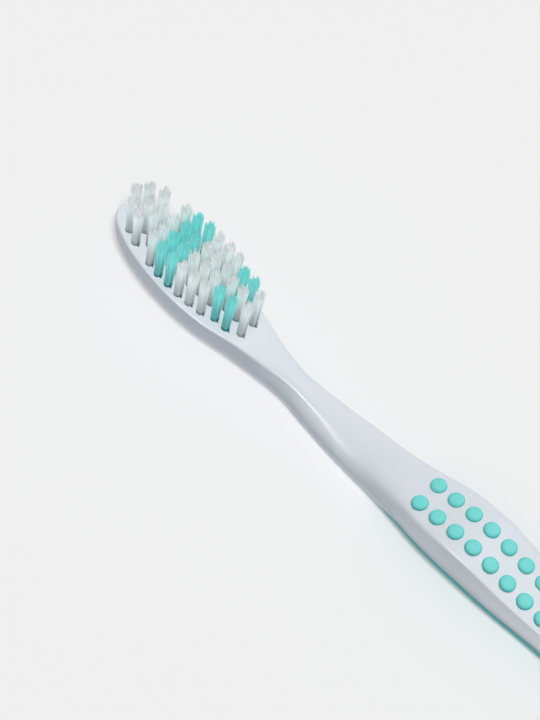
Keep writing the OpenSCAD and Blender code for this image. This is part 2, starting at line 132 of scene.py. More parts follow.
fullness_line = smooth_line(placed(0, brush_length, 1, [
    (0, 2.6), (0.12, 2.6), (0.17, 2.5), (0.28, 2.4), (0.38, 2.5), (0.5, 2.5), (0.6, 2.7), (1, 2.8)]))


def rounded(v, fullness):
    """What is left of a size at a share of the way to its rounded end."""
    return max(0.0, 1 - v * v) ** (1 / fullness)


def end_fill(s):
    """The share of the section that is left as the handle's end rounds off."""
    return rounded(min(1, max(0, (s - brush_length + end_round) / end_round)), end_fullness)


def half_width(s):
    if s < nose_length:
        return head_width / 2 * rounded(1 - s / nose_length, nose_fullness)
    return width_line(s) * end_fill(s)


def face_height(s):
    """Height of the flat that the tufts stand on."""
    return head_height + (head_length - s) * math.tan(head_tilt)


def plain_back(s):
    """Height of the middle of the back, before the end rounds off."""
    if s >= neck_start:
        return max(0, back_line(s))
    nose = rounded(max(0, 1 - s / nose_length), nose_back_fullness)
    return face_height(s) - head_thickness * (1 + head_growth * s / head_length) * nose


def front_and_back(s):
    """Heights of the middle of the front and of the back."""
    front, back = front_line(s), plain_back(s)
    middle = (front + back) / 2
    return middle + (front - middle) * end_fill(s), middle + (back - middle) * end_fill(s)


def widest_height(s):
    front, back = front_and_back(s)
    return front - (front - back) * widest_line(s)


crown_lead, crown_fade, face_blend = 2, 10, 0.18


def front_height(s, y):
    """Height of the front surface: the tuft face on the head, then a soft crown."""
    front, back = front_and_back(s)
    fade = min(1, max(0, (s - head_length + crown_lead) / crown_fade))
    crown = min(front_crown, (front - widest_height(s)) / 4) * fade * fade * (3 - 2 * fade)
    flat = half_width(s) * flat_line(s)
    bare = front - crown * (y / flat) ** 2
    if s > neck_start + neck_length / 2:
        return bare
    face = face_height(s)
    blend = max(0, face_blend - abs(bare - face)) / face_blend
    return min(bare, face) - blend * blend * face_blend / 4


def back_point(s, angle, depth=0.0):
    """A point of the back, at an angle down from the widest line, set in by a depth."""
    n = fullness_line(s)
    c, d = max(0, math.cos(math.radians(angle))), math.sin(math.radians(angle))
    k = (c ** n + d ** n) ** (1 / n)
    full = rest_share if tail_start < s < brush_length - end_round else 1
    level, back = widest_height(s), front_and_back(s)[1]
    return (half_width(s) - depth) * c / k, level - (level - back - depth) * min(1, d / k / full)


panel_start = neck_start + 0.805 * neck_length
panel_end = brush_length - 9.0
panel_nose, panel_skin = 11.0, 1.6
seam_at_side, seam_at_nose, seam_beyond, seam_fade = 2, 76, 45, 6


def seam_angle(s):
    """The panel's edge, as an angle down from the widest line. Beyond the panel it is a line of the mesh alone."""
    outside = max(panel_start - s, s - panel_end)
    if outside > 0:
        return seam_at_nose - (seam_at_nose - seam_beyond) * min(1, outside / seam_fade)
    t = max(0, min(1, max(panel_start + panel_nose - s, s - panel_end + panel_nose) / panel_nose))
    return seam_at_side + (seam_at_nose - seam_at_side) * (1 - math.sqrt(max(0, 1 - t * t)))


front_steps, corner_steps, wall_steps, side_steps, back_steps = 10, 8, 8, 8, 11
corner_share, wall_pull, wall_stand, bulge_stand = 0.7, 0.5, 0.25, 0.3
joint_lip, joint_groove, seat_turn, plain_turn = 0.07, 0.05, 1.5, 0.5


def handle_half(s):
    """Half of the handle's section, from the middle of the front to the middle of the back."""
    width, level = half_width(s), widest_height(s)
    flat = width * flat_line(s)
    corner_z = front_height(s, flat)
    wall = math.hypot(width - flat, corner_z - level)
    r = min(edge_line(s), corner_share * min(flat, wall))
    corner, widest = Vector((flat, corner_z)), Vector((width, level))
    start = Vector((flat - r, front_height(s, flat - r)))
    bulge = bulge_line(s)
    slope = (widest - corner).lerp(Vector((width - flat, 0)), bulge)
    lower = corner + slope.normalized() * r
    front_places = [start.x * i / front_steps for i in range(front_steps)]
    points = [Vector((y, front_height(s, y))) for y in front_places]
    for i in range(corner_steps + 1):
        t = i / corner_steps
        points.append(start * (1 - t) ** 2 + corner * 2 * t * (1 - t) + lower * t * t)
    first = lower + slope * wall_pull
    second = Vector((width, level + (lower.y - level) * (wall_stand + bulge_stand * bulge)))
    for i in range(1, wall_steps + 1):
        t = i / wall_steps
        points.append(lower * (1 - t) ** 3 + first * 3 * t * (1 - t) ** 2 + second * 3 * t * t * (1 - t)
                      + widest * t ** 3)
    seam = seam_angle(s)
    points += [Vector(back_point(s, seam * i / side_steps)) for i in range(1, side_steps)]
    under = panel_start < s < panel_end
    lip = math.degrees(joint_lip / width)
    points += [Vector(back_point(s, seam - lip)), Vector(back_point(s, seam, joint_groove if under else 0))]
    inner = seam + (seat_turn if under else plain_turn)
    depth = panel_skin if under else 0
    points += [Vector(back_point(s, inner + (90 - inner) * i / back_steps, depth)) for i in range(back_steps + 1)]
    return points


def whole_ring(half, s):
    """Both halves of a section as one ring of points, in metres, in the frame of the brush."""
    other = [Vector((-p.x, p.y)) for p in half[-2:0:-1]]
    return [Vector((s - brush_length / 2, p.x, p.y)) * MM for p in half + other]


def lofted(name, rings, closed_ends=True):
    """A skin over rings of points, closed at both ends unless it is said to be open."""
    n, verts = len(rings[0]), [p for ring in rings for p in ring]
    faces = [(i * n + j, i * n + (j + 1) % n, (i + 1) * n + (j + 1) % n, (i + 1) * n + j)
             for i in range(len(rings) - 1) for j in range(n)]
    for first in (0, (len(rings) - 1) * n) if closed_ends else ():
        verts.append(sum((verts[first + j] for j in range(n)), Vector()) / n)
        faces += [(first + j, first + (j + 1) % n, len(verts) - 1) for j in range(n)]
    mesh = bpy.data.meshes.new(name)
    mesh.from_pydata(verts, [], faces)
    shape = bmesh.new()
    shape.from_mesh(mesh)
    bmesh.ops.recalc_face_normals(shape, faces=shape.faces)
    for face in shape.faces:
        face.smooth = True
    shape.to_mesh(mesh)
    shape.free()
    return mesh


def spread_places(start, end, step):
    """Places along the brush, about a step apart, from a start up to but not at an end."""
    count = max(1, round((end - start) / step))
    return [start + (end - start) * i / count for i in range(count)]


def new_object(name, data):
    made = bpy.data.objects.new(name, data)
    scene.collection.objects.link(made)
    return made


curved_step, straight_step, end_step, beside_seam = 0.6, 1.4, 0.8, 0.01
straight_start = tail_start + 6
quarter = [math.radians(a) for a in range(0, 91, 3)]
nose_places = [nose_length * (1 - math.cos(math.radians(a))) for a in range(4, 90, 3)]
panel_places = (
    [panel_start + panel_nose * (1 - math.cos(a)) for a in quarter[:-1]]
    + spread_places(panel_start + panel_nose, straight_start, curved_step)
    + spread_places(straight_start, panel_end - panel_nose, straight_step)
    + [panel_end - panel_nose * (1 - math.sin(a)) for a in quarter])
handle_places = (
    nose_places + spread_places(nose_length, panel_start - beside_seam, curved_step)
    + [panel_start - beside_seam, panel_start + beside_seam] + panel_places[1:-1]
    + [panel_end - beside_seam, panel_end + beside_seam]
    + spread_places(panel_end + curved_step, brush_length - end_round, end_step)
    + [brush_length - end_round + end_round * math.sin(math.radians(a)) for a in range(0, 84, 4)])
handle = new_object("handle_body", lofted("handle_body", [whole_ring(handle_half(s), s) for s in handle_places]))


# Tuft holes: the machine drills forty blind holes into the head, and each anchor cuts a short slot at both sides
# of its hole as it is driven in. The holes are cut out of the handle here.
hole_radius, hole_depth, hole_steps = 0.82, 3.0, 14
slot_reach, slot_half, cutter_top = 1.14, 0.15, 0.4
sharp_cut = math.radians(38)
anchor_angle = math.radians(-12)
row_pitch = 0.0795 * head_length
row_sides = [0.606, 0.665, 0.677, 0.677, 0.648, 0.597, 0.45, 0.43, 0.234]
row_tufts = [4, 4, 4, 4, 4, 4, 3, 3, 2]
tip_places = [(0.902, 0), (0.858, -0.309), (0.858, 0.309), (0.798, 0), (0.78, -0.456), (0.78, 0.456),
              (0.719, -0.2), (0.719, 0.2)]
tufts = [("tip_tuft_%d" % (i + 1), -head_length * x, head_width / 2 * y) for i, (x, y) in enumerate(tip_places)]
tufts += [("row_%d_tuft_%d" % (row + 1, k + 1), (row + 1 - len(row_tufts)) * row_pitch,
           head_width / 2 * row_sides[row] * (2 * k / (count - 1) - 1))
          for row, count in enumerate(row_tufts) for k in range(count)]
on_face = (Matrix.Translation(Vector((head_length - brush_length / 2, 0, head_height)) * MM)
           @ Matrix.Rotation(head_tilt, 4, "Y"))


def tuft_place(x, y):
    """The frame of one tuft: on the face, and turned with its anchor."""
    return on_face @ Matrix.Translation(Vector((x, y, 0)) * MM) @ Matrix.Rotation(anchor_angle, 4, "Z")


def keyhole():
    """The outline of a hole with its two anchor slots."""
    first = math.asin(slot_half / hole_radius)
    arc = [first + (math.pi - 2 * first) * i / hole_steps for i in range(hole_steps + 1)]
    half = [(hole_radius * math.cos(a), hole_radius * math.sin(a)) for a in arc]
    half += [(-slot_reach, slot_half), (-slot_reach, -slot_half)]
    return half + [(-x, -y) for x, y in half]


cutter_shape = bmesh.new()
for _, x, y in tufts:
    place = tuft_place(x, y)
    lower, upper = [[cutter_shape.verts.new(place @ (Vector((px, py, z)) * MM)) for px, py in keyhole()]
                    for z in (-hole_depth, cutter_top)]
    for j in range(len(lower)):
        k = (j + 1) % len(lower)
        cutter_shape.faces.new((lower[j], lower[k], upper[k], upper[j]))
    cutter_shape.faces.new(lower[::-1])
    cutter_shape.faces.new(upper)
bmesh.ops.recalc_face_normals(cutter_shape, faces=cutter_shape.faces)
cutter_mesh = bpy.data.meshes.new("hole_cutter")
cutter_shape.to_mesh(cutter_mesh)
cutter_shape.free()
cutter = new_object("hole_cutter", cutter_mesh)
cut = handle.modifiers.new("tuft holes", "BOOLEAN")
cut.operation, cut.object, cut.solver = "DIFFERENCE", cutter, "EXACT"
bpy.context.view_layer.update()
drilled = bpy.data.meshes.new_from_object(handle.evaluated_get(bpy.context.evaluated_depsgraph_get()))
handle.modifiers.clear()
bpy.data.objects.remove(cutter)
handle.data = drilled
drilled.name = "handle_body"
face_normal = (on_face.to_3x3() @ Vector((0, 0, 1))).normalized()
for face in drilled.polygons:
    face.use_smooth = face.normal.dot(face_normal) < 0.999999
drilled.set_sharp_from_angle(angle=sharp_cut)


# Handle plastic: opaque white polypropylene with a faint blue cast. It has a soft gloss from a fine matt mould, and
# the slight cloudiness and sink of a thick moulding, which soften what it reflects.
def fill_inputs(tree, node, inputs):
    """Gives a node's inputs their values or links."""
    for key, value in inputs.items():
        if isinstance(value, bpy.types.NodeSocket):
            tree.links.new(value, node.inputs[key])
        else:
            node.inputs[key].default_value = value


def add_node(tree, kind, inputs=None, **settings):
    """A new node, with its settings, and with values or links for its inputs."""
    made = tree.nodes.new(kind)
    for key, value in settings.items():
        setattr(made, key, value)
    fill_inputs(tree, made, inputs or {})
    return made


def new_finish(name):
    """A new material, with its node tree and its shader."""
    material = bpy.data.materials.new(name)
    material.use_nodes = True
    return material, material.node_tree, material.node_tree.nodes["Principled BSDF"]


def shade_between(tree, factor, low, high):
    """A colour between two, which are colours or sockets, by a factor from 0 to 1."""
    low, high = (shade if isinstance(shade, bpy.types.NodeSocket) else (*shade, 1) for shade in (low, high))
    return add_node(tree, "ShaderNodeMix", {0: factor, 6: low, 7: high}, data_type="RGBA").outputs[2]


def unevenness(tree, scale, detail):
    """Noise from 0 to 1 that is fixed to the piece, with about as many specks to a metre as its scale says."""
    where = add_node(tree, "ShaderNodeTexCoord").outputs["Object"]
    return add_node(tree, "ShaderNodeTexNoise", {"Vector": where, "Scale": scale, "Detail": detail}).outputs["Fac"]


def ranged(tree, value, source=(0.0, 1.0), result=(0.0, 1.0)):
    """A value's share of its source range, as a place in the result's range."""
    return add_node(tree, "ShaderNodeMapRange", {
        "Value": value, "From Min": source[0], "From Max": source[1], "To Min": result[0], "To Max": result[1]
    }).outputs[0]


handle_plastic, tree, shader = new_finish("white_polypropylene")
cloud, ripple, grain = unevenness(tree, 90, 3), unevenness(tree, 420, 2), unevenness(tree, 5200, 2)
wave = add_node(tree, "ShaderNodeBump", {"Height": ripple, "Strength": 0.12, "Distance": 0.00004})
fine = add_node(tree, "ShaderNodeBump", {"Height": grain, "Strength": 0.05, "Distance": 0.00001,
                                         "Normal": wave.outputs["Normal"]})
fill_inputs(tree, shader, {
    "Base Color": shade_between(tree, cloud, (0.652, 0.694, 0.738), (0.672, 0.712, 0.752)),
    "Roughness": ranged(tree, ripple, result=(0.36, 0.44)), "Normal": fine.outputs["Normal"],
    "IOR": 1.49, "Specular IOR Level": 0.2,
    "Subsurface Weight": 0.12, "Subsurface Radius": (1, 1, 1), "Subsurface Scale": 0.0008})
drilled.materials.clear()
drilled.materials.append(handle_plastic)
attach(handle, "root")
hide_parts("handle")


# Soft grip: a teal thermoplastic elastomer, moulded over the handle in a second shot. It wraps the back of the
# grip and the tail as one panel with rounded ends, and its edge meets the white plastic in a fine joint line.
def elastomer(name, side, low, high):
    """Satin moulded elastomer: cloudy colour between two shades, painted shade that makes it deeper where it faces
    away from up, and a fine matt skin.
    """
    material, tree, shader = new_finish(name)
    cloud, matting = unevenness(tree, 160, 3), unevenness(tree, 7000, 3)
    facing = add_node(tree, "ShaderNodeNewGeometry").outputs["Normal"]
    # Painted shade: the side colour darkens the surface as it turns away from up.
    painted_side_shade_fade = ranged(tree, add_node(tree, "ShaderNodeSeparateXYZ", {0: facing}).outputs[2], source=(0.4, 0.93))
    fine = add_node(tree, "ShaderNodeBump", {"Height": matting, "Strength": 0.15, "Distance": 0.000012})
    fill_inputs(tree, shader, {
        "Base Color": shade_between(tree, painted_side_shade_fade, side, shade_between(tree, cloud, low, high)),
        "Roughness": ranged(tree, matting, result=(0.54, 0.66)), "Normal": fine.outputs["Normal"],
        "IOR": 1.47, "Specular IOR Level": 0.35,
        "Subsurface Weight": 0.15, "Subsurface Radius": (0.4, 1, 1), "Subsurface Scale": 0.0006})
    return material


# Painted shade: the panel's elastomer is a darker copy of the pads' one, standing in for the shade along the
# brush's lower side.
shaded_panel_elastomer = elastomer("shaded_teal_elastomer", (0.095, 0.460, 0.445), (0.105, 0.470, 0.455),
                            (0.125, 0.500, 0.485))
edge_round, edge_steps, edge_depth, seam_gap, panel_gap = 0.14, 3, 0.5, 0.02, 0.02
outer_steps, inner_steps, inner_turn = 24, 10, 2


def panel_half(s):
    """Half of the panel's section: its rounded edge, its outside and its inside."""
    from_end = max(0, min(s - panel_start, panel_end - s))
    sunk = edge_round * (1 - math.sqrt(max(0, 1 - (1 - min(1, from_end / edge_round)) ** 2)))
    edge = seam_angle(s) + math.degrees(seam_gap / half_width(s))
    outer = [Vector(back_point(s, edge, edge_depth))]
    for i in range(edge_steps + 1):
        phi = math.radians(90 / edge_steps * i)
        outer.append(Vector(back_point(
            s, edge + math.degrees(edge_round * (1 - math.cos(phi)) / half_width(s)),
            sunk + edge_round * (1 - math.sin(phi)))))
    first = edge + math.degrees(edge_round / half_width(s))
    outer += [Vector(back_point(s, first + (90 - first) * i / outer_steps, sunk))
              for i in range(1, outer_steps + 1)]
    first = edge + inner_turn
    inner = [Vector(back_point(s, first + (90 - first) * i / inner_steps, panel_skin - panel_gap))
             for i in range(inner_steps + 1)]
    return outer, inner


def panel_ring(s):
    """The panel's section as one ring of points: all of its outside, then back along its inside."""
    outer, inner = panel_half(s)
    points = outer + [Vector((-p.x, p.y)) for p in outer[-2::-1]]
    points += [Vector((-p.x, p.y)) for p in inner] + inner[-2::-1]
    return [Vector((s - brush_length / 2, p.x, p.y)) * MM for p in points]


def close_ends(mesh):
    """Closes both ends of the panel between its outside and its inside."""
    shape = bmesh.new()
    shape.from_mesh(mesh)
    loose = [edge for edge in shape.edges if len(edge.link_faces) == 1]
    bmesh.ops.holes_fill(shape, edges=loose, sides=0)
    bmesh.ops.triangulate(shape, faces=[face for face in shape.faces if len(face.verts) > 4])
    bmesh.ops.recalc_face_normals(shape, faces=shape.faces)
    shape.to_mesh(mesh)
    shape.free()


end_zone, sharp_rim = 0.3, math.radians(50)
ends = [edge_round * (1 - math.cos(math.radians(a))) for a in range(0, 91, 15)]
ring_places = sorted([panel_start + seam_gap + e for e in ends] + [panel_end - seam_gap - e for e in ends]
                     + [s for s in panel_places if panel_start + end_zone < s < panel_end - end_zone])
panel_mesh = lofted("soft_panel", [panel_ring(s) for s in ring_places], closed_ends=False)
close_ends(panel_mesh)
panel_mesh.set_sharp_from_angle(angle=sharp_rim)
panel_mesh.materials.append(shaded_panel_elastomer)
panel = new_object("soft_panel", panel_mesh)
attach(panel, "root")
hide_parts("soft_grip")


# Thumb pads: the same elastomer flows through holes in the handle and comes out on its front as two rows of
# twelve low round pads, each with a domed top. They keep the elastomer's plain colour, and the panel's copy is
# darkened as painted shade.
pad_radius, pad_height, pad_seat, pad_squareness = 1.475, 0.62, 0.6, 4.2
pad_pitch, pad_row_gap, pad_count, pad_lead, slope_reach = 3.97, 4.6, 12, 0.45, 0.1
pad_elastomer = elastomer("pad_teal_elastomer", (0.085, 0.560, 0.530), (0.165, 0.650, 0.618),
                           (0.185, 0.685, 0.652))


def new_growth(name, inputs):
    """An empty node tree with named inputs. Returns it, the sockets of its inputs, and its output node."""
    growth = bpy.data.node_groups.new(name, "GeometryNodeTree")
    growth.interface.new_socket("Geometry", in_out="INPUT", socket_type="NodeSocketGeometry")
    for label, kind in inputs.items():
        growth.interface.new_socket(label, in_out="INPUT", socket_type="NodeSocket" + kind)
    growth.interface.new_socket("Geometry", in_out="OUTPUT", socket_type="NodeSocketGeometry")
    entry = growth.nodes.new("NodeGroupInput")
    return growth, entry.outputs, growth.nodes.new("NodeGroupOutput")


def maths(tree, operation, first, second=0.0):
    return add_node(tree, "ShaderNodeMath", {0: first, 1: second}, operation=operation).outputs[0]


def times(tree, first, second):
    return maths(tree, "MULTIPLY", first, second)


def joined_vector(tree, x, y, z):
    return add_node(tree, "ShaderNodeCombineXYZ", {0: x, 1: y, 2: z}).outputs[0]


def parts(tree, vector):
    return add_node(tree, "ShaderNodeSeparateXYZ", {0: vector}).outputs


def grown_mesh(name, growth, values, start=None):
    """The plain mesh that a tree makes with these values."""
    carrier = new_object(name, start or bpy.data.meshes.new(name))
    modifier = carrier.modifiers.new("growth", "NODES")
    modifier.node_group = growth
    for item in growth.interface.items_tree:
        if item.in_out == "INPUT" and item.name in values:
            modifier[item.identifier] = values[item.name]
    bpy.context.view_layer.update()
    mesh = bpy.data.meshes.new_from_object(carrier.evaluated_get(bpy.context.evaluated_depsgraph_get()))
    bpy.data.objects.remove(carrier)
    mesh.name = name
    return mesh


pad_growth, given, result = new_growth("pads on the front", {
    "Radius": "Float", "Height": "Float", "Seat": "Float", "Squareness": "Float", "Material": "Material"})
ball = add_node(pad_growth, "GeometryNodeMeshUVSphere", {"Segments": 40, "Rings": 22, "Radius": 1.0})
x, y, z = parts(pad_growth, add_node(pad_growth, "GeometryNodeInputPosition").outputs[0])
out = maths(pad_growth, "SQRT", maths(pad_growth, "ADD", times(pad_growth, x, x), times(pad_growth, y, y)))
fall = maths(pad_growth, "SUBTRACT", 1.0, maths(pad_growth, "POWER", out, given["Squareness"]))
rise = maths(pad_growth, "POWER", maths(pad_growth, "MAXIMUM", fall, 0.0), 0.5)
above = maths(pad_growth, "GREATER_THAN", z, 0.0)
height = times(pad_growth, above, given["Height"])
depth = times(pad_growth, maths(pad_growth, "SUBTRACT", 1.0, above), given["Seat"])
shaped = joined_vector(pad_growth, times(pad_growth, x, given["Radius"]), times(pad_growth, y, given["Radius"]),
                       times(pad_growth, rise, maths(pad_growth, "SUBTRACT", height, depth)))
button = add_node(pad_growth, "GeometryNodeSetPosition", {"Geometry": ball.outputs[0], "Position": shaped})
normal = add_node(pad_growth, "GeometryNodeInputNamedAttribute", {"Name": "facing"}, data_type="FLOAT_VECTOR")
turn = add_node(pad_growth, "FunctionNodeAlignRotationToVector", {"Vector": normal.outputs[0]}, axis="Z")
many = add_node(pad_growth, "GeometryNodeInstanceOnPoints", {
    "Points": given["Geometry"], "Instance": button.outputs[0], "Rotation": turn.outputs[0]})
real = add_node(pad_growth, "GeometryNodeRealizeInstances", {0: many.outputs[0]})
smooth = add_node(pad_growth, "GeometryNodeSetShadeSmooth", {0: real.outputs[0]})
dressed = add_node(pad_growth, "GeometryNodeSetMaterial", {0: smooth.outputs[0], "Material": given["Material"]})
pad_growth.links.new(dressed.outputs[0], result.inputs[0])

centres, facings = [], []
for i in range(pad_count):
    for side in (-1, 1):
        s, y = grip_start + pad_pitch * (pad_lead + i), side * pad_row_gap / 2
        slope = (front_height(s + slope_reach, y) - front_height(s - slope_reach, y)) / (2 * slope_reach)
        centres.append(Vector((s - brush_length / 2, y, front_height(s, y))) * MM)
        facings.append(Vector((-slope, 0, 1)).normalized())
centre_mesh = bpy.data.meshes.new("pad_centres")
centre_mesh.from_pydata(centres, [], [])
facing = centre_mesh.attributes.new("facing", "FLOAT_VECTOR", "POINT")
for spot, direction in zip(facing.data, facings):
    spot.vector = direction
pad_mesh = grown_mesh("thumb_pads", pad_growth, {
    "Radius": pad_radius * MM, "Height": pad_height * MM, "Seat": pad_seat * MM,
    "Squareness": pad_squareness, "Material": pad_elastomer}, centre_mesh)
pads = new_object("thumb_pads", pad_mesh)
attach(pads, "root")


# Anchors: flat nickel silver plates, one driven into each hole across the fold of its filaments. The CAD solids
# are the real plates, so they stay and get their metal.
anchor_metal, tree, shader = new_finish("nickel_silver")
drawn = unevenness(tree, 3000, 2)
fill_inputs(tree, shader, {
    "Base Color": shade_between(tree, drawn, (0.52, 0.50, 0.44), (0.60, 0.58, 0.52)),
    "Roughness": ranged(tree, drawn, result=(0.28, 0.42)), "Metallic": 1.0})
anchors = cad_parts["tuft_anchors"]
anchors.data.materials.clear()
anchors.data.materials.append(anchor_metal)


# Tufts: each is one bundle of nylon filaments, folded over its anchor into two halves that stand up on both
# sides of it. They leave the hole tightly packed, spread a little, and end in rounded tips of uneven height.
colour_span, tip_span, painted_glow_span = (-0.0006, 0.0114), (0.985, 1.0), (0.24, 0.74)
streak_swing, low_shade, most_painted_glow, let_through = 0.06, 0.90, 0.13, 0.4


def nylon(name, root, body, top, tip, painted_glow_colour):
    """Translucent filament nylon: its colours from root to tip, with painted shade at the root and on the tips, and
    a painted glow that brightens it towards its end.
    """
    material, tree, shader = new_finish(name)
    rise, reach, tone = [add_node(tree, "ShaderNodeAttribute", attribute_name=kept).outputs["Fac"]
                         for kept in ("rise", "reach", "tone")]
    streak = unevenness(tree, 1400, 2)
    shift = maths(tree, "ADD", ranged(tree, rise, source=colour_span),
                  times(tree, maths(tree, "SUBTRACT", streak, 0.5), streak_swing))
    ramp = add_node(tree, "ShaderNodeValToRGB", {"Fac": shift})
    stops = ramp.color_ramp.elements
    # Painted shade: the root colour darkens the filaments where they enter the hole, and the top and tip colours
    # dim the ends that the lamps light.
    stops[0].position, stops[0].color = 0.05, (*root, 1)
    stops[1].position, stops[1].color = 0.84, (*body, 1)
    stops.new(0.13).color = (*[low_shade * part for part in body], 1)
    stops.new(0.97).color = (*top, 1)
    shade = shade_between(tree, ranged(tree, reach, source=tip_span), ramp.outputs["Color"], tip)
    shade = add_node(tree, "ShaderNodeVectorMath", {0: shade, "Scale": tone}, operation="SCALE").outputs[0]
    # Painted glow: emission from the middle of each filament up to its end stands in for light scattering through
    # the nylon.
    glow = ranged(tree, shift, source=painted_glow_span, result=(0.0, most_painted_glow))
    fill_inputs(tree, shader, {
        "Base Color": shade, "Roughness": ranged(tree, streak, result=(0.5, 0.65)),
        "Emission Color": (*painted_glow_colour, 1), "Emission Strength": times(tree, glow, tone),
        "IOR": 1.53, "Specular IOR Level": 0.05})
    through = add_node(tree, "ShaderNodeBsdfTranslucent", {"Color": shade})
    both = add_node(tree, "ShaderNodeMixShader", {0: let_through, 1: shader.outputs[0], 2: through.outputs[0]})
    tree.links.new(both.outputs[0], tree.nodes["Material Output"].inputs["Surface"])
    return material


# The root, top and tip colours hold painted shade, and the last colour is the colour of the painted glow.
nylon_white = nylon("milky_nylon", root=(0.50, 0.57, 0.64), body=(0.92, 0.97, 0.97), top=(0.87, 0.885, 0.885),
                    tip=(0.90, 0.905, 0.905), painted_glow_colour=(0.98, 1, 1))
nylon_teal = nylon("teal_nylon", root=(0.03, 0.46, 0.50), body=(0.42, 0.92, 0.91), top=(0.43, 0.90, 0.89),
                   tip=(0.44, 0.82, 0.81), painted_glow_colour=(0.60, 1, 0.98))

tuft_growth, given, result = new_growth("folded tuft", {
    "Filaments": "Int", "Packed Radius": "Float", "Halves Apart": "Float", "Root": "Float", "Height": "Float",
    "Uneven": "Float", "Spread": "Float", "Bend": "Float", "Lean": "Vector", "Filament Radius": "Float",
    "Seed": "Int", "Material": "Material"})


golden_turn, stem_points, stem_sides = 2.399963, 7, 5
mean_tone, tone_swing = 0.94, 0.075
crowding, spread_power, tip_taper, taper_power = 2.3, 1.5, 0.4, 100.0


def vector_maths(tree, operation, first, second):
    slot_two = "Scale" if operation == "SCALE" else 1
    return add_node(tree, "ShaderNodeVectorMath", {0: first, slot_two: second}, operation=operation).outputs[0]


def height_now():
    """How high a point of the tuft stands at that place in the tree."""
    return parts(tuft_growth, add_node(tuft_growth, "GeometryNodeInputPosition").outputs[0])[2]


def marked(lines, name, value):
    """The lines with a value kept at each of their points, for the material."""
    return add_node(tuft_growth, "GeometryNodeStoreNamedAttribute", {
        "Geometry": lines, "Name": name, "Value": value}, data_type="FLOAT", domain="POINT").outputs[0]


def spread_place(t, foot, length):
    """Where a point of the tuft comes to lie, from its share of the height and its place in the hole."""
    up = maths(tuft_growth, "SUBTRACT", times(tuft_growth, t, length), given["Root"])
    wider = maths(tuft_growth, "ADD", 1.0, times(tuft_growth, given["Spread"],
                                                 maths(tuft_growth, "POWER", t, spread_power)))
    level_part = vector_maths(tuft_growth, "ADD", vector_maths(tuft_growth, "SCALE", foot, wider),
                              vector_maths(tuft_growth, "SCALE", given["Lean"], up))
    return vector_maths(tuft_growth, "ADD", level_part, joined_vector(tuft_growth, 0.0, 0.0, up))


bundle = add_node(tuft_growth, "GeometryNodePoints", {"Count": given["Filaments"]})
order = add_node(tuft_growth, "GeometryNodeInputIndex").outputs[0]
share = maths(tuft_growth, "DIVIDE", maths(tuft_growth, "ADD", order, 0.5), given["Filaments"])
out = times(tuft_growth, maths(tuft_growth, "SQRT", share), given["Packed Radius"])
turned = times(tuft_growth, order, golden_turn)
across = times(tuft_growth, out, maths(tuft_growth, "SINE", turned))
parted = maths(tuft_growth, "ADD",
               times(tuft_growth, across, maths(tuft_growth, "SUBTRACT", 1.0, given["Halves Apart"])),
               times(tuft_growth, maths(tuft_growth, "SIGN", across),
                     times(tuft_growth, given["Halves Apart"], given["Packed Radius"])))
foot = joined_vector(tuft_growth, times(tuft_growth, out, maths(tuft_growth, "COSINE", turned)), parted, 0.0)
sway = add_node(tuft_growth, "FunctionNodeRandomValue", {
    0: (-1, -1, -1), 1: (1, 1, 1), "ID": order, "Seed": given["Seed"]}, data_type="FLOAT_VECTOR").outputs[0]
kept = add_node(tuft_growth, "GeometryNodeCaptureAttribute", domain="POINT")
kept.capture_items.new("VECTOR", "foot")
kept.capture_items.new("VECTOR", "sway")
fill_inputs(tuft_growth, kept, {0: bundle.outputs[0], 1: foot, 2: sway})
line = add_node(tuft_growth, "GeometryNodeCurvePrimitiveLine", {"Start": (0, 0, 0), "End": (0, 0, 1)})
stem = add_node(tuft_growth, "GeometryNodeResampleCurve", {"Curve": line.outputs[0], "Count": stem_points})
standing = add_node(tuft_growth, "GeometryNodeInstanceOnPoints", {
    "Points": kept.outputs[0], "Instance": stem.outputs[0]})
lines = add_node(tuft_growth, "GeometryNodeRealizeInstances", {0: standing.outputs[0]}).outputs[0]
t = maths(tuft_growth, "SUBTRACT", 1.0,
          maths(tuft_growth, "POWER", maths(tuft_growth, "SUBTRACT", 1.0, height_now()), crowding))
foot, sway = kept.outputs[1], kept.outputs[2]
sway_parts = parts(tuft_growth, sway)
uneven = times(tuft_growth, given["Uneven"], sway_parts[2])
whole = maths(tuft_growth, "ADD", given["Root"], given["Height"])
bent = vector_maths(tuft_growth, "SCALE", vector_maths(tuft_growth, "MULTIPLY", sway, (1, 1, 0)),
                    times(tuft_growth, times(tuft_growth, t, t), given["Bend"]))
lines = marked(lines, "reach", t)
lines = marked(lines, "tone", maths(tuft_growth, "ADD", mean_tone, times(tuft_growth, tone_swing, sway_parts[0])))
risen = add_node(tuft_growth, "GeometryNodeSetPosition", {
    "Geometry": lines,
    "Position": vector_maths(tuft_growth, "ADD", bent,
                             spread_place(t, foot, maths(tuft_growth, "ADD", whole, uneven)))})
lines = marked(risen.outputs[0], "rise", height_now())
reach = add_node(tuft_growth, "GeometryNodeInputNamedAttribute", {"Name": "reach"}, data_type="FLOAT").outputs[0]
tip = maths(tuft_growth, "SUBTRACT", 1.0,
            times(tuft_growth, tip_taper, maths(tuft_growth, "POWER", reach, taper_power)))
section = add_node(tuft_growth, "GeometryNodeCurvePrimitiveCircle", {"Resolution": stem_sides, "Radius": 1.0})
solid = add_node(tuft_growth, "GeometryNodeCurveToMesh", {
    "Curve": lines, "Profile Curve": section.outputs[0], "Fill Caps": True,
    "Scale": times(tuft_growth, tip, given["Filament Radius"])})
smooth = add_node(tuft_growth, "GeometryNodeSetShadeSmooth", {0: solid.outputs[0]})
real = add_node(tuft_growth, "GeometryNodeRealizeInstances", {0: smooth.outputs[0]})
dressed = add_node(tuft_growth, "GeometryNodeSetMaterial", {0: real.outputs[0], "Material": given["Material"]})
tuft_growth.links.new(dressed.outputs[0], result.inputs[0])

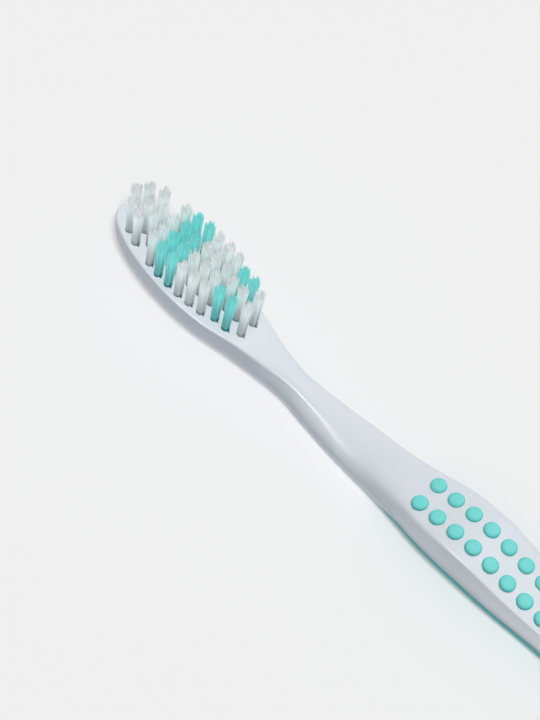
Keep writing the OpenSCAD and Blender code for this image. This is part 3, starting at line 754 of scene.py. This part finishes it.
row_height, tall_height, short_height, tall_tip_tufts = 10.7, 11.2, 9.8, 6
filament_count, filament_radius, packed_radius, halves_apart = 84, 0.068, 0.71, 0.14
root_depth, uneven_ends, tip_spread, filament_bend = 2.4, 0.75, 0.40, 0.06
lean_of_all, lean_of_each, lean_turn_x, lean_turn_y = 0.04, 0.012, 1.7, 2.3
lean = Vector((lean_of_all * math.cos(anchor_angle), -lean_of_all * math.sin(anchor_angle), 0))
teal_rows, teal_edged_rows = (2, 3), (7, 8)
standing_tufts = []
for index, (name, x, y) in enumerate(tufts):
    row = int(name.split("_")[1]) if name.startswith("row") else 0
    at_edge = row > 0 and name.endswith(("tuft_1", "tuft_%d" % row_tufts[row - 1]))
    teal = row in teal_rows or (row in teal_edged_rows and at_edge)
    if row > 0:
        height = row_height if row > 1 else (row_height + short_height) / 2
    else:
        height = tall_height if index < tall_tip_tufts else short_height
    mesh = grown_mesh(name + "_filaments", tuft_growth, {
        "Filaments": filament_count, "Packed Radius": packed_radius * MM, "Halves Apart": halves_apart,
        "Root": root_depth * MM, "Height": height * MM, "Uneven": uneven_ends * MM, "Spread": tip_spread,
        "Bend": filament_bend * MM, "Filament Radius": filament_radius * MM,
        "Lean": lean + Vector((math.sin(index * lean_turn_x), math.cos(index * lean_turn_y), 0)) * lean_of_each,
        "Seed": index + 1, "Material": nylon_teal if teal else nylon_white})
    mesh.transform(tuft_place(x, y))
    tuft = new_object(name + "_filaments", mesh)
    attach(tuft, "root")
    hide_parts(name)
    standing_tufts.append(tuft)


# Stage: a pale matt table top that the brush lies on, and a plain studio. The key lamp lights the brush alone and
# passes the tufts, whose nylon lets light through. Another lights the table, for the soft shadow of the brush. A
# third shows only as a thin reflection on the handle's edges.
table_reach, table_glow, sky_light, seen_sky = 3, 0.2, 0.33, 0.53
shaded_table, seen_table = (0.76, 0.79, 0.87), (0.863, 0.863, 0.863)
floor_mesh = bpy.data.meshes.new("floor")
floor_mesh.from_pydata([(table_reach * x, table_reach * y, 0) for x, y in ((-1, -1), (1, -1), (1, 1), (-1, 1))],
                       [], [(0, 1, 2, 3)])
floor = new_object("floor", floor_mesh)


def seen_directly(tree):
    """1 where the camera sees it, or sees it in a reflection or through something, and 0 for other light."""
    rays = add_node(tree, "ShaderNodeLightPath").outputs
    return maths(tree, "MAXIMUM", rays["Is Camera Ray"],
                 maths(tree, "MAXIMUM", rays["Is Glossy Ray"], rays["Is Transmission Ray"]))


floor_paint, tree, shader = new_finish("pale_table")
seen = seen_directly(tree)
fill_inputs(tree, shader, {"Base Color": shade_between(tree, seen, shaded_table, seen_table), "Roughness": 1.0,
                           "Specular IOR Level": 0.0})
glow = add_node(tree, "ShaderNodeEmission", {"Color": (*seen_table, 1)})
both = add_node(tree, "ShaderNodeMixShader", {0: times(tree, seen, table_glow), 1: shader.outputs[0],
                                              2: glow.outputs[0]})
tree.links.new(both.outputs[0], tree.nodes["Material Output"].inputs["Surface"])
floor_mesh.materials.append(floor_paint)

scene.world = bpy.data.worlds.new("studio")
scene.world.use_nodes = True
tree = scene.world.node_tree
fill_inputs(tree, tree.nodes["Background"], {
    "Color": (1, 1, 1, 1),
    "Strength": maths(tree, "ADD", sky_light, times(tree, seen_directly(tree), seen_sky))})


def linked(name, pieces, state):
    """A collection that says how a lamp treats some pieces."""
    group = bpy.data.collections.new(name)
    for piece in pieces:
        group.objects.link(piece)
    for entry in group.collection_objects:
        entry.light_linking.link_state = state
    return group


def lamp(name, towards, strength, angle, pieces, state, passes=()):
    """A far soft lamp that lights some pieces alone, or all but them, and whose light passes others."""
    light = bpy.data.lights.new(name, "SUN")
    light.energy, light.angle = strength, math.radians(angle)
    holder = new_object(name, light)
    holder.rotation_mode = "QUATERNION"
    holder.rotation_quaternion = Vector(towards).to_track_quat("Z", "Y")
    holder.light_linking.receiver_collection = linked(name + "_reach", pieces, state)
    if passes:
        holder.light_linking.blocker_collection = linked(name + "_passes", passes, "EXCLUDE")
    return holder


lamp("key_lamp", (0.10, 0.30, 1.0), 2.24, 30, [floor], "EXCLUDE", standing_tufts)
lamp("floor_lamp", (0.40, -0.31, 1.0), 2.38, 11, [floor], "INCLUDE")
edge_light = lamp("edge_light", (-0.13, -0.60, 0.79), 9.5, 6, [handle], "INCLUDE")
edge_light.visible_diffuse = edge_light.visible_transmission = False


# Camera: a long lens at the photograph's place, above the near side of the brush and looking down along it, from
# the tail towards the head. Its matrix holds its right, its up, its back and its place.
camera = new_object("camera", bpy.data.cameras.new("camera"))
camera.data.lens, camera.data.sensor_width = 100.0, 36.0
camera.data.clip_start, camera.data.clip_end = 0.01, 20.0
camera.matrix_world = Matrix((
    (0.7000, -0.6389, 0.3192, 0.05530),
    (0.7125, 0.5940, -0.3735, -0.13064),
    (0.0489, 0.4889, 0.8710, 0.31016),
    (0, 0, 0, 1)))
scene.camera = camera
scene.view_settings.view_transform = "Standard"

bpy.context.view_layer.update()
